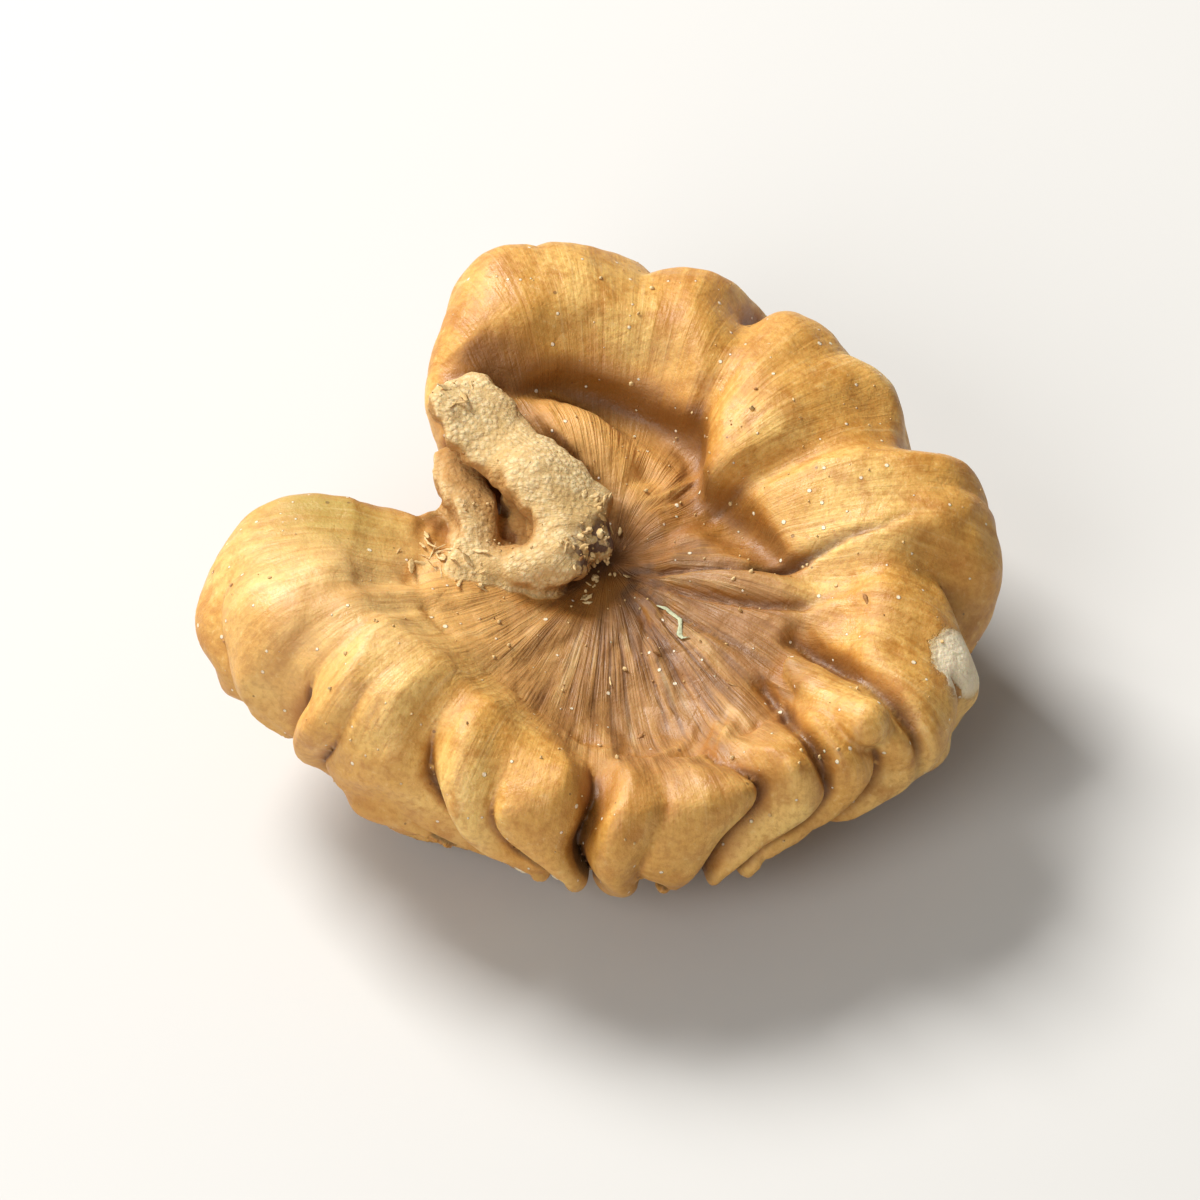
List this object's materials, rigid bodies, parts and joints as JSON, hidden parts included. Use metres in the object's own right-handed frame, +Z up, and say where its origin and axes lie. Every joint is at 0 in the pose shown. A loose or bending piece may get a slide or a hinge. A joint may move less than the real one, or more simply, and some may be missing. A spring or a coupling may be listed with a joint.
{
  "type": "walnut kernel half",
  "caption": "Shelled walnut kernel half with two folded lobes, a deep notch, a scalloped rolled rim and a torn pale root of the dividing wall.",
  "frame": {"origin": "centre of the bounding box at its base, where the kernel's folded back lies on a surface", "axes": "+Z up, out of the inner face; +X across the kernel's longest extent; the notch between the lobes opens towards -X and a little +Y"},
  "size_m": [0.0332, 0.0312, 0.0136],
  "materials": {
    "kernel": "satin, waxy golden-brown skin"
  },
  "bodies": {
    "root": {"kernel_half": "kernel"}
  },
  "joints": []
}
